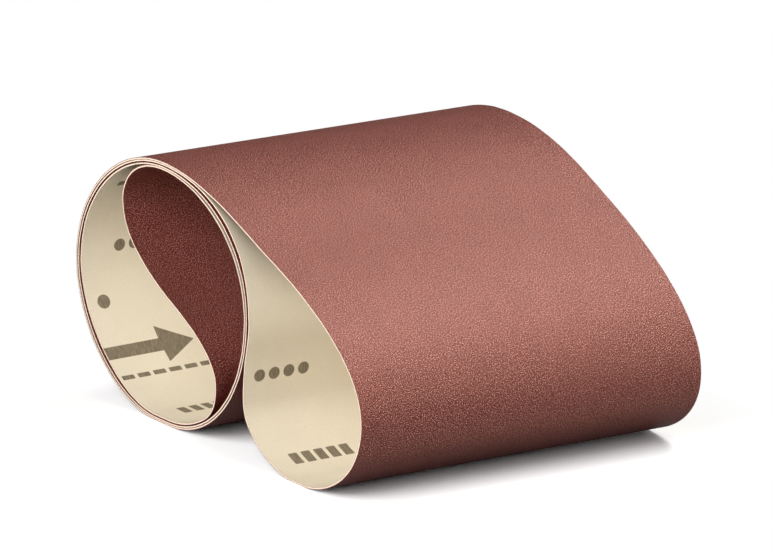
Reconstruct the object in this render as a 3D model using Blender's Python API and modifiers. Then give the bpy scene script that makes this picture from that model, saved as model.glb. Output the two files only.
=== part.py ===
"""Wide abrasive belt, flattened to a double strip and rolled up, so that it lies on two of its bends.

X runs across the roll, Y along the belt's width and Z up. The floor is Z = 0, and the origin lies
under the middle of the object. The section is one closed centre line in the XZ plane: the belt goes
round the coil as two strands, back to back. One end of the double strip opens into a bulb that lies
on the floor beside the coil, and the other end into a smaller bulb inside the coil. The roll isn't
quite the same at both edges of the belt: towards the far edge the slope between coil and bulb is fuller.
"""
import math

import bmesh
import bpy
from mathutils import Vector
from mathutils.geometry import interpolate_bezier

# The belt itself
BELT_WIDTH = 0.100
THICKNESS = 0.00045

# The coil: its outermost turn, the places where that is widest, and how the turns lie on each other
COIL_WIDTH = 0.0825
COIL_LEFT_REACH = 0.0410
COIL_LEFT_Z = 0.0337
COIL_RIGHT_Z = 0.0364
LAYER_GAP = 0.00016
SIDE_SLACK = 0.00044
FLAT_SPOT = 0.006
ROUNDNESS = 0.5523
UPPER_LEFT_ROUNDNESS = 0.525
LOWER_LEFT_ROUNDNESS = 0.545
LOWER_LEFT_EASE = 0.022
SHOULDER_TOP_ROUNDNESS = 0.535
SHOULDER_TOP_EASE = 0.010
SHOULDER_SIDE_ROUNDNESS = 0.73
SHOULDER_SIDE_EASE = 0.055

# The outer bulb: it leaves the coil's top down a slope, turns on the floor and tucks under the coil's side
BULB_WIDTH = 0.0542
BULB_TUCK = 0.0027
BULB_WAIST_Z = 0.0147
BULB_FLOOR_FROM_SIDE = 0.0296
SLOPE_RUN = 0.0485
TOP_PULL = 0.0200
SLOPE_PULL = 0.0105
BULB_SIDE_PULL_UP = 0.0176
BULB_SIDE_PULL_DOWN = 0.0134
BULB_FLOOR_PULL_RIGHT = 0.0117
BULB_FLOOR_PULL_LEFT = 0.0065
WAIST_PULL_DOWN = 0.0083
WAIST_PULL_UP = 0.0135
COIL_SIDE_PULL = 0.0080

# What differs between the near and the far edge of the belt
NEAR_COIL_HEIGHT = 0.0684
NEAR_COIL_TOP_X = 0.0010
NEAR_SLOPE_DROP = 0.0130
NEAR_SLOPE_ANGLE = math.radians(19.8)
NEAR_BULB_SIDE_Z = 0.0221
FAR_COIL_HEIGHT = 0.0687
FAR_COIL_TOP_X = 0.0055
FAR_SLOPE_DROP = 0.0111
FAR_SLOPE_ANGLE = math.radians(23.8)
FAR_BULB_SIDE_Z = 0.0203
FAR_BULB_BULGE = 0.0014

# The inner bulb: a tip on the coil's floor, a sheet that slants across, and a bend under the coil's top
TIP_FROM_RIGHT = 0.0134
TIP_Z = 0.0154
SHEET_X = 0.0063
SHEET_Z = 0.0321
SHEET_ANGLE = math.radians(23.8)
BEND_FROM_LEFT = 0.0207
BEND_BELOW_TOP = 0.0122
TIP_FOOT = 0.33
TIP_FOOT_PULL = 0.0022
TIP_PULL_DOWN = 0.0055
TIP_PULL_UP = 0.0066
SHEET_PULL = 0.0112
BEND_PULL_DOWN = 0.0102
BEND_PULL_UP = 0.0070
BEND_TOP_PULL = 0.0112

# Segments along each curved stretch between two knots
SPAN_SEGMENTS = 18

GRAIN_COLOUR = (0.25, 0.075, 0.06, 1.0)
GRAIN_ROUGHNESS = 0.85

LAYER_STEP = THICKNESS + LAYER_GAP
SIDE_STEP = LAYER_STEP + SIDE_SLACK
UP = Vector((0.0, 1.0))
DOWN = Vector((0.0, -1.0))
LEFT = Vector((-1.0, 0.0))
RIGHT = Vector((1.0, 0.0))


class Edge:
    """What differs in the roll's section between the belt's two edges."""

    def __init__(self, coil_height, coil_top_x, slope_drop, slope_angle, bulb_side_z, bulb_bulge):
        self.coil_height = coil_height
        self.coil_top_x = coil_top_x
        self.slope_drop = slope_drop
        self.slope_angle = slope_angle
        self.bulb_side_z = bulb_side_z
        self.bulb_bulge = bulb_bulge


NEAR_EDGE = Edge(
    NEAR_COIL_HEIGHT, NEAR_COIL_TOP_X, NEAR_SLOPE_DROP, NEAR_SLOPE_ANGLE, NEAR_BULB_SIDE_Z, 0.0
)
FAR_EDGE = Edge(
    FAR_COIL_HEIGHT, FAR_COIL_TOP_X, FAR_SLOPE_DROP, FAR_SLOPE_ANGLE, FAR_BULB_SIDE_Z, FAR_BULB_BULGE
)


class Round:
    """A pull that makes a round quarter, as a share of the distance to the next knot."""

    def __init__(self, share):
        self.share = share


QUARTER = Round(ROUNDNESS)
UPPER_LEFT = Round(UPPER_LEFT_ROUNDNESS)


def lower_left(layer):
    """The lower left quarter's pull, which is fuller in the outer turns."""
    return Round(LOWER_LEFT_ROUNDNESS - LOWER_LEFT_EASE * layer)


def top_shoulder(layer):
    """The upper right quarter's pull at the coil's top, which is fuller in the outer turns."""
    return Round(SHOULDER_TOP_ROUNDNESS - SHOULDER_TOP_EASE * layer)


def side_shoulder(layer):
    """The upper right quarter's pull at the coil's side, which is fuller in the outer turns."""
    return Round(SHOULDER_SIDE_ROUNDNESS - SHOULDER_SIDE_EASE * layer)


class Knot:
    """A point of the centre line, its heading, and how far it pulls the line before and after it."""

    def __init__(self, point, heading, before, after):
        self.point = point
        self.heading = heading
        self.before = before
        self.after = after

    def pull(self, kind, neighbour):
        """A pull's length in metres."""
        if isinstance(kind, Round):
            return kind.share * abs((neighbour.point - self.point).dot(self.heading))
        return kind

    def handle_after(self, later):
        """The Bezier handle on the side of the next knot."""
        return self.point + self.heading * self.pull(self.after, later)

    def handle_before(self, earlier):
        """The Bezier handle on the side of the knot before."""
        return self.point - self.heading * self.pull(self.before, earlier)


def coil_top(layer, edge):
    """The coil's top, where the outermost strand is layer 0."""
    return Vector((edge.coil_top_x, edge.coil_height - THICKNESS / 2 - layer * LAYER_STEP))


def coil_left(layer):
    """The coil's left side, where the outermost strand is layer 0.5."""
    return Vector((-COIL_LEFT_REACH + THICKNESS / 2 + (layer - 0.5) * SIDE_STEP, COIL_LEFT_Z))


def coil_bottom(layer):
    """The coil's bottom, where the outermost strand is layer 1 and lies on the floor."""
    return Vector((0.0, THICKNESS / 2 + (layer - 1) * LAYER_STEP))


def coil_right(layer):
    """The coil's right side, where the outermost strand is layer 0.5."""
    reach = COIL_WIDTH - COIL_LEFT_REACH - THICKNESS / 2
    return Vector((reach - (layer - 0.5) * SIDE_STEP, COIL_RIGHT_Z))


def split(start, end, share):
    """A knot part of the way from one knot to the next, which leaves the line as it was up to there."""
    near = start.handle_after(end)
    far = end.handle_before(start)
    first = start.point.lerp(near, share)
    middle = near.lerp(far, share)
    last = far.lerp(end.point, share)
    arriving = first.lerp(middle, share)
    leaving = middle.lerp(last, share)
    point = arriving.lerp(leaving, share)
    start.after = (first - start.point).length
    return Knot(point, (leaving - arriving).normalized(), (point - arriving).length, None)


def flat_spot(middle, heading, before, after):
    """The two ends of a flat spot, in the order in which the line passes them."""
    half = heading * (FLAT_SPOT / 2)
    return [Knot(middle - half, heading, before, None), Knot(middle + half, heading, None, after)]


def turn_inward(layer):
    """One strand from the coil's top round its left side to its bottom."""
    return [
        Knot(coil_left(layer + 0.5), DOWN, UPPER_LEFT, lower_left(layer + 0.5)),
        *flat_spot(coil_bottom(layer + 1), RIGHT, lower_left(layer + 1), QUARTER),
    ]


def bulb_side_x(edge):
    """The centre line's furthest reach to the right, in the outer bulb's side."""
    return coil_right(0.5).x - BULB_TUCK + BULB_WIDTH - THICKNESS + edge.bulb_bulge


def outer_bulb(edge):
    """From the floor of the outer bulb up its side and slope to the coil's top."""
    side = Vector((bulb_side_x(edge), edge.bulb_side_z))
    floor = Vector((bulb_side_x(NEAR_EDGE) - BULB_FLOOR_FROM_SIDE, THICKNESS / 2))
    slope = coil_top(0, NEAR_EDGE) + Vector((SLOPE_RUN, -edge.slope_drop))
    uphill = Vector((-math.cos(edge.slope_angle), math.sin(edge.slope_angle)))
    return [
        *flat_spot(floor, RIGHT, BULB_FLOOR_PULL_LEFT, BULB_FLOOR_PULL_RIGHT),
        Knot(side, UP, BULB_SIDE_PULL_DOWN, BULB_SIDE_PULL_UP),
        Knot(slope, uphill, SLOPE_PULL, SLOPE_PULL),
        Knot(coil_top(0, edge), LEFT, TOP_PULL, UPPER_LEFT),
    ]


def inner_bulb(edge):
    """From the coil's inner floor round the tip, across the slanting sheet and round the bend."""
    tip = Vector((coil_right(2.5).x - TIP_FROM_RIGHT, TIP_Z))
    sheet = Vector((SHEET_X, SHEET_Z))
    uphill = Vector((-math.cos(SHEET_ANGLE), math.sin(SHEET_ANGLE)))
    bend = Vector((coil_left(2.5).x + BEND_FROM_LEFT, coil_top(3, edge).y - BEND_BELOW_TOP))
    return [
        Knot(tip, UP, TIP_PULL_DOWN, TIP_PULL_UP),
        Knot(sheet, uphill, SHEET_PULL, SHEET_PULL),
        Knot(bend, UP, BEND_PULL_DOWN, BEND_PULL_UP),
        Knot(coil_top(3, edge), RIGHT, BEND_TOP_PULL, top_shoulder(3)),
    ]


def section_knots(edge):
    """The closed centre line: in along one strand to the inner bulb, and out along the other."""
    waist = Vector((coil_right(0.5).x - BULB_TUCK, BULB_WAIST_Z))
    knots = outer_bulb(edge)
    knots += turn_inward(0)
    knots += [
        Knot(coil_right(1.5), UP, QUARTER, side_shoulder(1.5)),
        Knot(coil_top(2, edge), LEFT, top_shoulder(2), UPPER_LEFT),
    ]
    knots += turn_inward(2)
    foot = split(knots[-1], Knot(coil_right(3.5), UP, QUARTER, None), TIP_FOOT)
    foot.after = TIP_FOOT_PULL
    knots += [foot, *inner_bulb(edge)]
    knots += [
        Knot(coil_right(2.5), DOWN, side_shoulder(2.5), QUARTER),
        *flat_spot(coil_bottom(2), LEFT, QUARTER, lower_left(2)),
        Knot(coil_left(1.5), UP, lower_left(1.5), UPPER_LEFT),
        Knot(coil_top(1, edge), RIGHT, UPPER_LEFT, top_shoulder(1)),
        Knot(coil_right(0.5), DOWN, side_shoulder(0.5), COIL_SIDE_PULL),
        Knot(waist, DOWN, WAIST_PULL_UP, WAIST_PULL_DOWN),
    ]
    return knots


def section_line(edge):
    """The centre line's points at one edge of the belt. A flat spot has only its two ends."""
    knots = section_knots(edge)
    points = []
    for index, knot in enumerate(knots):
        later = knots[(index + 1) % len(knots)]
        if knot.after is None:
            points.append(knot.point)
            continue
        handles = knot.handle_after(later), later.handle_before(knot)
        points += interpolate_bezier(knot.point, *handles, later.point, SPAN_SEGMENTS + 1)[:-1]
    return points


def belt_sheet():
    """The belt's middle surface, stretched from the section at its near edge to that at its far edge."""
    sheet = bmesh.new()
    rims = []
    for edge, y in ((NEAR_EDGE, -BELT_WIDTH / 2), (FAR_EDGE, BELT_WIDTH / 2)):
        rims.append([sheet.verts.new((point.x, y, point.y)) for point in section_line(edge)])
    near, far = rims
    for index in range(len(near)):
        sheet.faces.new((near[index - 1], near[index], far[index], far[index - 1]))
    mesh = bpy.data.meshes.new("belt")
    sheet.to_mesh(mesh)
    sheet.free()
    return mesh


def belt_material():
    """Red-brown abrasive grain, rough and not metallic."""
    material = bpy.data.materials.new("abrasive_grain")
    material.use_nodes = True
    shader = material.node_tree.nodes["Principled BSDF"]
    shader.inputs["Base Color"].default_value = GRAIN_COLOUR
    shader.inputs["Roughness"].default_value = GRAIN_ROUGHNESS
    shader.inputs["Metallic"].default_value = 0.0
    return material


def make_belt(collection):
    """The belt: its middle surface, thickened evenly to both sides."""
    belt = bpy.data.objects.new("belt", belt_sheet())
    collection.objects.link(belt)
    belt.data.materials.append(belt_material())
    left_end = coil_left(0.5).x - THICKNESS / 2
    right_end = bulb_side_x(FAR_EDGE) + THICKNESS / 2
    belt.location.x = -(left_end + right_end) / 2
    solidify = belt.modifiers.new("thickness", "SOLIDIFY")
    solidify.thickness = THICKNESS
    solidify.offset = 0.0
    solidify.use_even_offset = True
    return belt


def main():
    for old in list(bpy.data.objects):
        bpy.data.objects.remove(old)
    collection = bpy.data.collections.new("sanding_belt")
    bpy.context.scene.collection.children.link(collection)
    make_belt(collection)


main()
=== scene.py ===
"""Dresses the rolled abrasive belt: grained outside, printed paper backing, cut edges, studio light."""
import math

import bmesh
import bpy
import numpy as np
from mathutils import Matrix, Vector


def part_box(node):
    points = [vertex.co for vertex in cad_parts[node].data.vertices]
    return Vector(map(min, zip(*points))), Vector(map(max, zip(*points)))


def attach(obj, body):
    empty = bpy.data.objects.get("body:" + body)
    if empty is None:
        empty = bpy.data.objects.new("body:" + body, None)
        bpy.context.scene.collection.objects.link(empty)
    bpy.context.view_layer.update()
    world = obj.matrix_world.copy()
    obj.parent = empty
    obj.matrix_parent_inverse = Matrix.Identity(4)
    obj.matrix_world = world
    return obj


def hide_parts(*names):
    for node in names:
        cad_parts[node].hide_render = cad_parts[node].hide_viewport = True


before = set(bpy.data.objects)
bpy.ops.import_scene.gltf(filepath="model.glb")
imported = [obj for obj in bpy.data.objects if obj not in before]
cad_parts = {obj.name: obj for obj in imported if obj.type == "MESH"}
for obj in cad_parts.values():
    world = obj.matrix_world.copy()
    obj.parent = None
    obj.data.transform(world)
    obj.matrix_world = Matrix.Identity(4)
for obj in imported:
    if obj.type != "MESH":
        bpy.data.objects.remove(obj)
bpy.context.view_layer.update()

# Photograph's frame and viewing direction; the lens is long, because the photo has almost no perspective
PHOTO_WIDTH_PX = 772
FOCAL_PX = 9000.0
SENSOR_MM = 36.0
AZIMUTH = math.radians(56.9)
ELEVATION = math.radians(15.53)
AIM = Vector((0.04535, -0.0293, 0.0515))
CAMERA_DISTANCE = 2.206

CAMERA_CLIP = (0.1, 20.0)

MILLIMETRE = 0.001
WHITE = (1.0, 1.0, 1.0)

# The belt's layers: the grain coat, and how far the paper stands out past the plain solid's inner side
GRAIN_THICKNESS = 0.00012
PAPER_FULLNESS = 0.00006
# How finely the belt is meshed, along its closed line and from edge to edge
STATIONS = 1080
ROWS_ACROSS = 15
# How the plain solid's cut edges are found, and from which length on a gap in them is a straight flat spot
MERGE_DISTANCE = 1e-6
RIM_DEPTH = 0.00005
STRAIGHT_FROM = 0.004
# How far the cut edges wander, over how many stations, and how far they are kept back for that
EDGE_WANDER = 0.00004
WANDER_SPAN = 1.2
EDGE_INSET = 0.00012
SHARP_ANGLE = math.radians(50)
# The material slots
GRAIN, PAPER, GRAIN_EDGE, PAPER_EDGE = range(4)


def edge_loops(node, side):
    """The two closed lines of one cut edge of the belt, (x, z) in order, the grain side first."""
    mesh = bmesh.new()
    mesh.from_mesh(node.data)
    bmesh.ops.remove_doubles(mesh, verts=mesh.verts, dist=MERGE_DISTANCE)
    reach = max(v.co.y * side for v in mesh.verts)
    rim = {f for f in mesh.faces if all(v.co.y * side > reach - RIM_DEPTH for v in f.verts)}
    border = {}
    for edge in mesh.edges:
        if sum(f in rim for f in edge.link_faces) == 1:
            a, b = edge.verts
            border.setdefault(a, []).append(b)
            border.setdefault(b, []).append(a)
    loops = []
    while border:
        start = max(border, key=lambda v: v.co.x)
        following = max(border[start], key=lambda v: v.co.z)
        loop = [start]
        previous, current = start, following
        while current is not start:
            loop.append(current)
            previous, current = current, next(v for v in border[current] if v is not previous)
        for vert in loop:
            del border[vert]
        loops.append(np.array([(v.co.x, v.co.z) for v in loop]))
    mesh.free()
    return loops


def closed_spline(points, count):
    """Evenly spaced points of a smooth closed curve through the given ones, with their arc length.

    A long stretch between two points is a flat spot and stays straight.
    """
    ring = np.vstack([points[-2:], points, points[:3]])
    gaps = np.linalg.norm(np.diff(ring, axis=0), axis=1)
    chord = np.concatenate([[0.0], np.cumsum(gaps)])
    slope = (ring[2:] - ring[:-2]) / (chord[2:] - chord[:-2])[:, None]
    slope = np.vstack([slope[:1], slope, slope[-1:]])
    for i in np.flatnonzero(gaps > STRAIGHT_FROM):
        slope[i] = slope[i + 1] = (ring[i + 1] - ring[i]) / gaps[i]
    first, last = 2, len(points) + 2
    where = np.linspace(chord[first], chord[last], count, endpoint=False)
    at = np.searchsorted(chord, where, side="right") - 1
    length = (chord[at + 1] - chord[at])[:, None]
    t = ((where - chord[at])[:, None]) / length
    h00 = 2 * t**3 - 3 * t**2 + 1
    h10 = t**3 - 2 * t**2 + t
    h01 = -2 * t**3 + 3 * t**2
    h11 = t**3 - t**2
    curve = h00 * ring[at] + h10 * length * slope[at] + h01 * ring[at + 1] + h11 * length * slope[at + 1]
    return curve, where - chord[first], chord[last] - chord[first]


def outward_of(line):
    """Unit vectors across a closed line, to the grain side."""
    tangent = np.roll(line, -1, axis=0) - np.roll(line, 1, axis=0)
    tangent /= np.linalg.norm(tangent, axis=1)[:, None]
    return np.stack([tangent[:, 1], -tangent[:, 0]], axis=1)


def wander(count, size, span, seed):
    """A closed smooth random line of the given size, which changes over about span stations."""
    rng = np.random.default_rng(seed)
    raw = rng.standard_normal(count)
    width = np.exp(-0.5 * ((np.arange(count) - count // 2) / span) ** 2)
    smooth = np.real(np.fft.ifft(np.fft.fft(raw) * np.fft.fft(np.fft.ifftshift(width))))
    return np.clip(smooth / smooth.std() * size / 2, -size, size)


def belt_mesh(node):
    """The belt as a fine mesh with a grain layer on a paper layer, and UVs in metres along and across."""
    near_loops = edge_loops(node, -1)
    far_loops = edge_loops(node, 1)
    thickness = np.linalg.norm(near_loops[0] - near_loops[1], axis=1).min()
    near, along, length = closed_spline((near_loops[0] + near_loops[1]) / 2, STATIONS)
    far, _, _ = closed_spline((far_loops[0] + far_loops[1]) / 2, STATIONS)
    near_outward, far_outward = outward_of(near), outward_of(far)
    low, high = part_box("belt")
    across = np.linspace(low[1] + EDGE_INSET, high[1] - EDGE_INSET, ROWS_ACROSS)
    near_edge = wander(STATIONS, EDGE_WANDER, WANDER_SPAN, seed=1)
    far_edge = wander(STATIONS, EDGE_WANDER, WANDER_SPAN, seed=2)
    layer_line = thickness / 2 - GRAIN_THICKNESS

    ring = [(thickness / 2, y) for y in across]
    ring += [(layer_line, across[-1])]
    ring += [(-thickness / 2 - PAPER_FULLNESS, y) for y in across[::-1]]
    ring += [(layer_line, across[0])]
    size = len(ring)
    verts = np.zeros((STATIONS, size, 3))
    for k, (offset, y) in enumerate(ring):
        share = (y - across[0]) / (across[-1] - across[0])
        point = near * (1 - share) + far * share
        point += (near_outward * (1 - share) + far_outward * share) * offset
        verts[:, k, 0] = point[:, 0]
        verts[:, k, 2] = point[:, 1]
        verts[:, k, 1] = y
        if y == across[0]:
            verts[:, k, 1] += near_edge
        if y == across[-1]:
            verts[:, k, 1] += far_edge
    verts = np.clip(verts, low, high)

    faces, slots, uvs = [], [], []
    kinds = [GRAIN] * (ROWS_ACROSS - 1) + [GRAIN_EDGE, PAPER_EDGE]
    kinds += [PAPER] * (ROWS_ACROSS - 1) + [PAPER_EDGE, GRAIN_EDGE]
    ends = np.append(along, length)
    for i in range(STATIONS):
        here, there = i * size, ((i + 1) % STATIONS) * size
        for k in range(size):
            after = (k + 1) % size
            faces.append((here + k, here + after, there + after, there + k))
            slots.append(kinds[k])
            v0, v1 = ring[k][1], ring[after][1]
            if kinds[k] in (GRAIN_EDGE, PAPER_EDGE):
                v0, v1 = ring[k][0], ring[after][0]
            uvs += [(ends[i], v0), (ends[i], v1), (ends[i + 1], v1), (ends[i + 1], v0)]
    mesh = bpy.data.meshes.new("belt_surface")
    mesh.from_pydata(verts.reshape(-1, 3).tolist(), [], faces)
    mesh.polygons.foreach_set("material_index", slots)
    layer = mesh.uv_layers.new(name="belt")
    layer.data.foreach_set("uv", np.array(uvs).ravel())
    mesh.shade_smooth()
    mesh.set_sharp_from_angle(angle=SHARP_ANGLE)
    mesh.validate()
    return mesh


# Rays of the ambient occlusion node for the painted shade in narrow places, and the openness from which a
# place counts as free
PAINTED_SHADE_SAMPLES = 6
PAINTED_SHADE_OPEN = 0.8


class Nodes:
    """Short names for building a material's node tree."""

    def __init__(self, name):
        self.material = bpy.data.materials.new(name)
        self.material.use_nodes = True
        self.tree = self.material.node_tree
        self.tree.nodes.clear()
        self.output = self.add("ShaderNodeOutputMaterial")

    def add(self, kind, **settings):
        node = self.tree.nodes.new(kind)
        for key, value in settings.items():
            setattr(node, key, value)
        return node

    def link(self, source, target):
        self.tree.links.new(source, target)

    def put(self, value, target):
        """Sets a socket from a number or colour, or links it to another node's output."""
        if isinstance(value, bpy.types.NodeSocket):
            self.link(value, target)
        else:
            target.default_value = value

    def math(self, operation, a, b=0.0, c=0.0):
        node = self.add("ShaderNodeMath", operation=operation)
        for value, target in zip((a, b, c), node.inputs):
            self.put(value, target)
        return node.outputs[0]

    def belt_place(self):
        """Position along and across the belt, or through its thickness on a cut edge, in metres."""
        uv = self.add("ShaderNodeUVMap", uv_map="belt")
        node = self.add("ShaderNodeSeparateXYZ")
        self.link(uv.outputs["UV"], node.inputs["Vector"])
        return node.outputs["X"], node.outputs["Y"]

    def belt_vector(self, along=1.0, across=1.0):
        """Position on the belt in millimetres, each direction scaled."""
        uv = self.add("ShaderNodeUVMap", uv_map="belt")
        node = self.add("ShaderNodeMapping")
        self.link(uv.outputs["UV"], node.inputs["Vector"])
        node.inputs["Scale"].default_value = (along / MILLIMETRE, across / MILLIMETRE, 1.0)
        return node.outputs["Vector"]

    def noise(self, vector, scale, detail=2.0, roughness=0.5, distortion=0.0):
        node = self.add("ShaderNodeTexNoise", noise_dimensions="2D")
        self.link(vector, node.inputs["Vector"])
        node.inputs["Scale"].default_value = scale
        node.inputs["Detail"].default_value = detail
        node.inputs["Roughness"].default_value = roughness
        node.inputs["Distortion"].default_value = distortion
        return node.outputs["Fac"]

    def ramp(self, value, *stops):
        """Colour ramp with (position, colour) stops."""
        node = self.add("ShaderNodeValToRGB")
        self.link(value, node.inputs["Fac"])
        elements = node.color_ramp.elements
        while len(elements) < len(stops):
            elements.new(0.5)
        for element, (position, colour) in zip(elements, stops):
            element.position = position
            element.color = (*colour, 1.0)
        return node.outputs["Color"]

    def range(self, value, low, high, out_low=0.0, out_high=1.0):
        node = self.add("ShaderNodeMapRange")
        self.put(value, node.inputs["Value"])
        limits = (("From Min", low), ("From Max", high), ("To Min", out_low), ("To Max", out_high))
        for name, number in limits:
            node.inputs[name].default_value = number
        return node.outputs["Result"]

    def grey(self, value):
        node = self.add("ShaderNodeCombineColor")
        for name in ("Red", "Green", "Blue"):
            self.put(value, node.inputs[name])
        return node.outputs["Color"]

    def painted_shade(self, reach, darkest):
        """Painted shade: a colour that falls from white to the darkest one where other surfaces come closer
        than reach.
        """
        node = self.add("ShaderNodeAmbientOcclusion", samples=PAINTED_SHADE_SAMPLES)
        node.inputs["Distance"].default_value = reach
        return self.mix(self.range(node.outputs["AO"], 0.0, PAINTED_SHADE_OPEN), darkest, WHITE)

    def mix(self, share, a, b, blend="MIX"):
        node = self.add("ShaderNodeMix", data_type="RGBA", blend_type=blend)
        self.put(share, node.inputs["Factor"])
        for value, target in ((a, node.inputs[6]), (b, node.inputs[7])):
            self.put((*value, 1.0) if isinstance(value, tuple) else value, target)
        return node.outputs[2]

    def surface(self, colour, roughness, specular, height=None, bump=0.0, tint=None, ior=1.5):
        """Principled surface; the bump's distance is in metres."""
        shader = self.add("ShaderNodeBsdfPrincipled")
        self.put(colour, shader.inputs["Base Color"])
        self.put(roughness, shader.inputs["Roughness"])
        shader.inputs["Specular IOR Level"].default_value = specular
        shader.inputs["IOR"].default_value = ior
        if tint:
            shader.inputs["Specular Tint"].default_value = (*tint, 1.0)
        if height is not None:
            node = self.add("ShaderNodeBump")
            node.inputs["Distance"].default_value = bump
            self.link(height, node.inputs["Height"])
            self.link(node.outputs["Normal"], shader.inputs["Normal"])
        self.link(shader.outputs["BSDF"], self.output.inputs["Surface"])
        return self.material


# The grain's colours from its pits to its brightest crumbs, each with its place on the speckle's scale
GRAIN_STOPS = (
    (0.35, (0.042, 0.008, 0.006)),
    (0.50, (0.138, 0.030, 0.022)),
    (0.60, (0.295, 0.070, 0.050)),
    (0.66, (0.70, 0.33, 0.26)),
)
GRAIN_SPECKLES_PER_MM = 3.6
GRAIN_MOTTLES_PER_MM = 0.12
GRAIN_STREAKS_PER_MM = 0.9
GRAIN_STREAK_STRETCH = 0.06
GRAIN_ROUGHNESS = (0.48, 0.28)
GRAIN_BUMP = 0.00012
GRAIN_SPECULAR = 0.8
GRAIN_TINT = (1.0, 0.49, 0.40)
GRAIN_IOR = 1.77
# Painted shade on the grain where other surfaces come close: how near, and the darkest colour
GRAIN_PAINTED_SHADE = (0.022, (0.42, 0.16, 0.16))


def grain_material():
    """Red-brown grit: fine speckle with paler crumbs, coarser mottling, faint streaks along the belt, and
    painted shade in narrow places.
    """
    m = Nodes("abrasive_grain")
    flat = m.belt_vector()
    speckle = m.noise(flat, GRAIN_SPECKLES_PER_MM, detail=1.5, roughness=0.55)
    mottle = m.noise(flat, GRAIN_MOTTLES_PER_MM, detail=3.0)
    streak = m.noise(m.belt_vector(along=GRAIN_STREAK_STRETCH), GRAIN_STREAKS_PER_MM, detail=2.0)
    colour = m.ramp(speckle, *GRAIN_STOPS)
    cloud = m.range(mottle, 0.3, 0.7, 0.95, 1.05)
    line = m.range(streak, 0.3, 0.7, 0.97, 1.03)
    colour = m.mix(1.0, colour, m.grey(m.math("MULTIPLY", cloud, line)), "MULTIPLY")
    # Painted shade in narrow places, multiplied into the grain's colour
    colour = m.mix(1.0, colour, m.painted_shade(*GRAIN_PAINTED_SHADE), "MULTIPLY")
    roughness = m.range(speckle, 0.35, 0.65, *GRAIN_ROUGHNESS)
    return m.surface(colour, roughness, GRAIN_SPECULAR, speckle, GRAIN_BUMP, GRAIN_TINT, GRAIN_IOR)


PAPER_COLOUR = (0.86, 0.775, 0.615)
PAPER_DARKER = (0.82, 0.73, 0.565)
PAPER_FIBRES_PER_MM = 2.2
PAPER_BLOTCHES_PER_MM = 0.09
PAPER_ROUGHNESS = 0.78
PAPER_SPECULAR = 0.25
PAPER_BUMP = 0.00003
# Painted shade on the paper where other surfaces come close: how near, and the darkest colour
PAPER_PAINTED_SHADE = (0.024, (0.06, 0.02, 0.0))
INK_COLOUR = (0.175, 0.138, 0.085)
INK_SOFTNESS = 0.15
INK_WEAR_PER_MM = 4.0
INK_WEAR_STRETCH = 0.10
INK_COVER = (0.80, 0.97)
# Plain printed marks in millimetres: place along and across the belt of the first one's middle, size along
# and across, corner radius, how many there are, and their pitch across the belt
MARKS = (
    (410.4, -45.1, 3.7, 3.7, 1.85, 1, 0.0),
    (373.5, -44.0, 2.2, 2.6, 0.3, 1, 0.0),
    (396.4, -38.6, 3.3, 3.3, 1.65, 2, 4.4),
    (424.8, -42.3, 3.8, 18.4, 0.2, 1, 0.0),
    (433.1, -47.4, 1.5, 3.6, 0.2, 6, 4.7),
    (452.4, -42.0, 4.6, 2.4, 0.3, 4, 3.6),
    (873.9, -45.4, 3.2, 3.2, 1.6, 4, 4.3),
    (899.4, -42.6, 4.4, 2.6, 0.3, 5, 3.7),
)
# The arrow's head in millimetres: place along the belt, where it starts and ends across, half its width
ARROW_HEAD = (424.8, -33.4, -23.6, 5.6)


def paper_shade(m):
    """Cream paper with fibre mottling and faint blotches."""
    fibres = m.noise(m.belt_vector(along=0.5), PAPER_FIBRES_PER_MM, 4.0, 0.65, distortion=0.4)
    blotch = m.noise(m.belt_vector(), PAPER_BLOTCHES_PER_MM, detail=3.0)
    both = m.math("ADD", m.math("MULTIPLY", fibres, 0.6), m.math("MULTIPLY", blotch, 0.4))
    return m.ramp(both, (0.35, PAPER_DARKER), (0.65, PAPER_COLOUR)), fibres


def printed(m, place, mark):
    """How much ink one row of round-cornered marks leaves, from 0 to 1."""
    along, across, size_along, size_across, corner, count, pitch = mark
    x = m.math("SUBTRACT", place[0], along)
    y = m.math("SUBTRACT", place[1], across)
    if count > 1:
        cell = m.math("ROUND", m.math("DIVIDE", y, pitch))
        cell = m.math("MAXIMUM", m.math("MINIMUM", cell, count - 1.0), 0.0)
        y = m.math("SUBTRACT", y, m.math("MULTIPLY", cell, pitch))
    x = m.math("MAXIMUM", m.math("SUBTRACT", m.math("ABSOLUTE", x), size_along / 2 - corner), 0.0)
    y = m.math("MAXIMUM", m.math("SUBTRACT", m.math("ABSOLUTE", y), size_across / 2 - corner), 0.0)
    reach = m.math("SQRT", m.math("MULTIPLY_ADD", x, x, m.math("MULTIPLY", y, y)))
    return m.range(reach, corner - INK_SOFTNESS / 2, corner + INK_SOFTNESS / 2, 1.0, 0.0)


def arrow_head(m, place):
    """The ink of a plain triangle that points across the belt."""
    along, start, end, half_width = ARROW_HEAD
    left = m.math("ABSOLUTE", m.math("SUBTRACT", place[0], along))
    side = m.math("MULTIPLY_ADD", place[1], half_width / (end - start), left)
    limit = half_width * end / (end - start)
    inside = m.range(side, limit - INK_SOFTNESS / 2, limit + INK_SOFTNESS / 2, 1.0, 0.0)
    return m.math("MULTIPLY", inside, m.math("GREATER_THAN", place[1], start))


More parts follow.
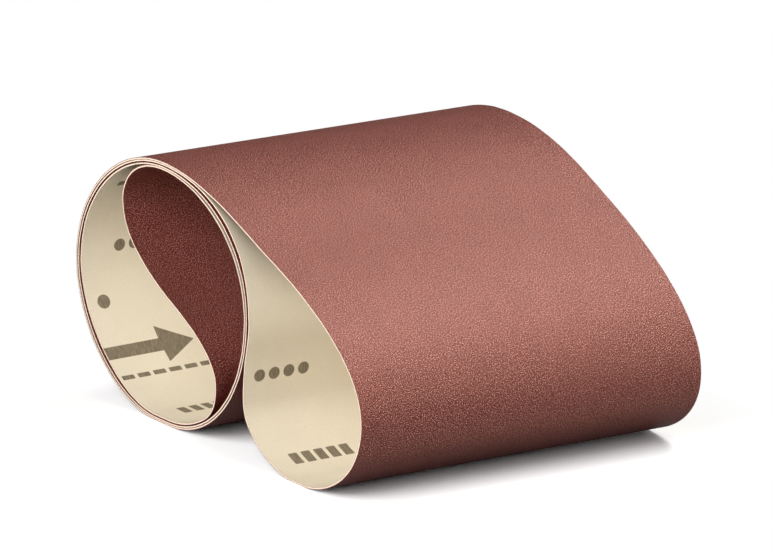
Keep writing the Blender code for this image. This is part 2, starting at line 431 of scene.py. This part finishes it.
def backing_material():
    """The belt's paper backing with its printed marks, whose ink is a little worn, and painted shade in
    narrow places.
    """
    m = Nodes("paper_backing")
    colour, fibres = paper_shade(m)
    place = [m.math("DIVIDE", value, MILLIMETRE) for value in m.belt_place()]
    ink = arrow_head(m, place)
    for mark in MARKS:
        ink = m.math("MAXIMUM", ink, printed(m, place, mark))
    wear = m.noise(m.belt_vector(along=INK_WEAR_STRETCH), INK_WEAR_PER_MM, detail=3.0, roughness=0.7)
    ink = m.math("MULTIPLY", ink, m.range(wear, 0.35, 0.6, *INK_COVER))
    colour = m.mix(ink, colour, INK_COLOUR)
    # Painted shade in narrow places, multiplied into the paper's colour
    colour = m.mix(1.0, colour, m.painted_shade(*PAPER_PAINTED_SHADE), "MULTIPLY")
    return m.surface(colour, PAPER_ROUGHNESS, PAPER_SPECULAR, fibres, PAPER_BUMP)


# The cut edges: colour stops, texture scale per millimetre, roughness and specular level of each layer
CUT_GRAIN_STOPS = ((0.35, (0.05, 0.014, 0.012)), (0.7, (0.2, 0.07, 0.055)))
CUT_GRAIN_FINISH = (4.0, 0.8, 0.3)
CUT_PAPER_STOPS = ((0.35, (0.66, 0.48, 0.37)), (0.6, (0.90, 0.72, 0.58)))
CUT_PAPER_FINISH = (2.5, 0.85, 0.2)
# Painted shade of the gap between the layers, as a darker rim on the paper's bare side: where it starts and
# ends through the sheet, in millimetres
CUT_RIM_SHADE = (-0.245, -0.195)
CUT_RIM_SHADE_SHARE = 0.8
CUT_RIM_SHADE_COLOUR = (0.13, 0.085, 0.06)


def grain_edge_material():
    """The dark line of resin and grit at the cut edge."""
    m = Nodes("cut_grain")
    scale, roughness, specular = CUT_GRAIN_FINISH
    crumbs = m.noise(m.belt_vector(), scale, detail=2.0, roughness=0.7)
    return m.surface(m.ramp(crumbs, *CUT_GRAIN_STOPS), roughness, specular)


def paper_edge_material():
    """The pale, slightly frayed line of cut paper, with painted shade as a darker rim on its bare side."""
    m = Nodes("cut_paper")
    scale, roughness, specular = CUT_PAPER_FINISH
    fray = m.noise(m.belt_vector(), scale, detail=3.0, roughness=0.7)
    colour = m.ramp(fray, *CUT_PAPER_STOPS)
    through = m.math("DIVIDE", m.belt_place()[1], MILLIMETRE)
    # Painted shade of the gap between the layers, as a darker rim on the paper's bare side
    rim = m.range(through, *CUT_RIM_SHADE, CUT_RIM_SHADE_SHARE, 0.0)
    return m.surface(m.mix(rim, colour, CUT_RIM_SHADE_COLOUR), roughness, specular)


def make_belt():
    """The dressed belt in place of its plain solid."""
    mesh = belt_mesh(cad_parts["belt"])
    for material in (grain_material(), backing_material(), grain_edge_material(), paper_edge_material()):
        mesh.materials.append(material)
    belt = bpy.data.objects.new("belt_surface", mesh)
    bpy.context.scene.collection.objects.link(belt)
    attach(belt, "root")
    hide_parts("belt")
    return belt


FLOOR_SIZE = 6.0
FLOOR_DROP = 0.00005
# How light the floor is for the light that it throws back, for the camera, and in reflections
FLOOR_COLOUR = 0.50
FLOOR_SEEN = 1.42
FLOOR_MIRRORED = 0.25
# Middle and half size of the floor's patch under the belt, and how far from it the shadow fades to white
FOOT_X = (0.0, 0.060)
FOOT_Y = (0.0, 0.046)
FLOOR_FADE = (0.0, 0.040)
# Painted shadow on the floor where the belt comes close: how near, and the darkest colour
FLOOR_PAINTED_SHADOW = (0.024, (0.95, 0.95, 0.95))


def make_floor():
    """A pale floor that keeps the belt's shadow, has painted shadow multiplied in where the belt comes
    close, and fades to plain white away from it.
    """
    bpy.ops.mesh.primitive_plane_add(size=FLOOR_SIZE, location=(0.0, 0.0, -FLOOR_DROP))
    floor = bpy.context.object
    floor.name = "floor"
    m = Nodes("floor")
    place = m.add("ShaderNodeSeparateXYZ")
    m.link(m.add("ShaderNodeTexCoord").outputs["Object"], place.inputs["Vector"])
    sides = []
    for axis, middle, half in (("X", *FOOT_X), ("Y", *FOOT_Y)):
        away = m.math("ABSOLUTE", m.math("SUBTRACT", place.outputs[axis], middle))
        sides.append(m.math("MAXIMUM", m.math("SUBTRACT", away, half), 0.0))
    squares = m.math("MULTIPLY_ADD", sides[0], sides[0], m.math("MULTIPLY", sides[1], sides[1]))
    distance = m.math("SQRT", squares)
    fade = m.range(distance, *FLOOR_FADE)
    path = m.add("ShaderNodeLightPath")
    ray = path.outputs["Is Camera Ray"]
    level = m.range(path.outputs["Is Glossy Ray"], 0.0, 1.0, FLOOR_COLOUR, FLOOR_MIRRORED)
    level = m.math("ADD", level, m.math("MULTIPLY", ray, FLOOR_SEEN - FLOOR_COLOUR))
    # Painted shadow near the belt, multiplied into the floor's level
    shaded = m.mix(1.0, m.grey(level), m.painted_shade(*FLOOR_PAINTED_SHADOW), "MULTIPLY")
    diffuse = m.add("ShaderNodeBsdfDiffuse")
    m.link(shaded, diffuse.inputs["Color"])
    white = m.add("ShaderNodeEmission")
    both = m.add("ShaderNodeMixShader")
    m.link(m.math("MULTIPLY", fade, ray), both.inputs["Fac"])
    m.link(diffuse.outputs["BSDF"], both.inputs[1])
    m.link(white.outputs["Emission"], both.inputs[2])
    m.link(both.outputs["Shader"], m.output.inputs["Surface"])
    floor.data.materials.append(m.material)


# How bright the even surround is in reflections and for all other light
WORLD_GLOSSY = 0.07
WORLD_DIFFUSE = 0.01
# Soft lights: name, direction from the object, size along X, size the other way, watts
LIGHTS = (
    ("overhead_left", (-0.20, 0.53, 0.82), 0.36, 0.42, 1.85),
    ("overhead", (0.05, 0.53, 0.85), 0.36, 0.42, 3.5),
    ("overhead_middle", (0.30, 0.53, 0.79), 0.36, 0.42, 0.8),
    ("overhead_right", (0.55, 0.53, 0.65), 0.36, 0.42, 1.2),
    ("front_high", (0.10, -0.80, 0.60), 0.5, 0.5, 5.0),
    ("front", (0.35, -0.88, 0.32), 0.5, 0.5, 10.0),
    ("right", (0.80, 0.50, 0.30), 0.5, 0.5, 1.9),
    ("right_high", (0.45, -0.60, 0.66), 0.5, 0.5, 1.9),
)
LIGHT_DISTANCE = 1.1
LIGHT_AIM = Vector((0.0, 0.0, 0.03))


def make_lights():
    """Soft studio lights and a dim even surround, which looks white to the camera.

    Only the lights on the belt's far side are seen in reflections and make a sheen.
    """
    for name, direction, size_x, size_other, watts in LIGHTS:
        light = bpy.data.lights.new(name, "AREA")
        light.shape = "RECTANGLE"
        light.size = size_x
        light.size_y = size_other
        light.energy = watts
        lamp = bpy.data.objects.new(name, light)
        lamp.visible_glossy = direction[1] > 0
        bpy.context.scene.collection.objects.link(lamp)
        toward = Vector(direction).normalized()
        lamp.location = LIGHT_AIM + toward * LIGHT_DISTANCE
        lamp.rotation_euler = toward.to_track_quat("Z", "Y").to_euler()
    world = bpy.data.worlds.new("studio")
    world.use_nodes = True
    bpy.context.scene.world = world
    tree = world.node_tree
    background = tree.nodes["Background"]
    background.inputs["Color"].default_value = (*WHITE, 1.0)
    path = tree.nodes.new("ShaderNodeLightPath")
    strength = WORLD_DIFFUSE
    for ray, level in (("Is Glossy Ray", WORLD_GLOSSY), ("Is Camera Ray", 1.0)):
        choice = tree.nodes.new("ShaderNodeMix")
        tree.links.new(path.outputs[ray], choice.inputs["Factor"])
        if isinstance(strength, float):
            choice.inputs["A"].default_value = strength
        else:
            tree.links.new(strength, choice.inputs["A"])
        choice.inputs["B"].default_value = level
        strength = choice.outputs["Result"]
    tree.links.new(strength, background.inputs["Strength"])


def make_camera():
    """A long lens from the photograph's direction."""
    camera = bpy.data.cameras.new("camera")
    camera.sensor_width = SENSOR_MM
    camera.lens = SENSOR_MM * FOCAL_PX / PHOTO_WIDTH_PX
    camera.clip_start, camera.clip_end = CAMERA_CLIP
    view = bpy.data.objects.new("camera", camera)
    bpy.context.scene.collection.objects.link(view)
    back = Vector((
        math.sin(AZIMUTH) * math.cos(ELEVATION),
        -math.cos(AZIMUTH) * math.cos(ELEVATION),
        math.sin(ELEVATION),
    ))
    view.location = AIM + back * CAMERA_DISTANCE
    view.rotation_euler = back.to_track_quat("Z", "Y").to_euler()
    bpy.context.scene.camera = view


make_belt()
make_floor()
make_lights()
make_camera()
bpy.context.scene.view_settings.view_transform = "Standard"
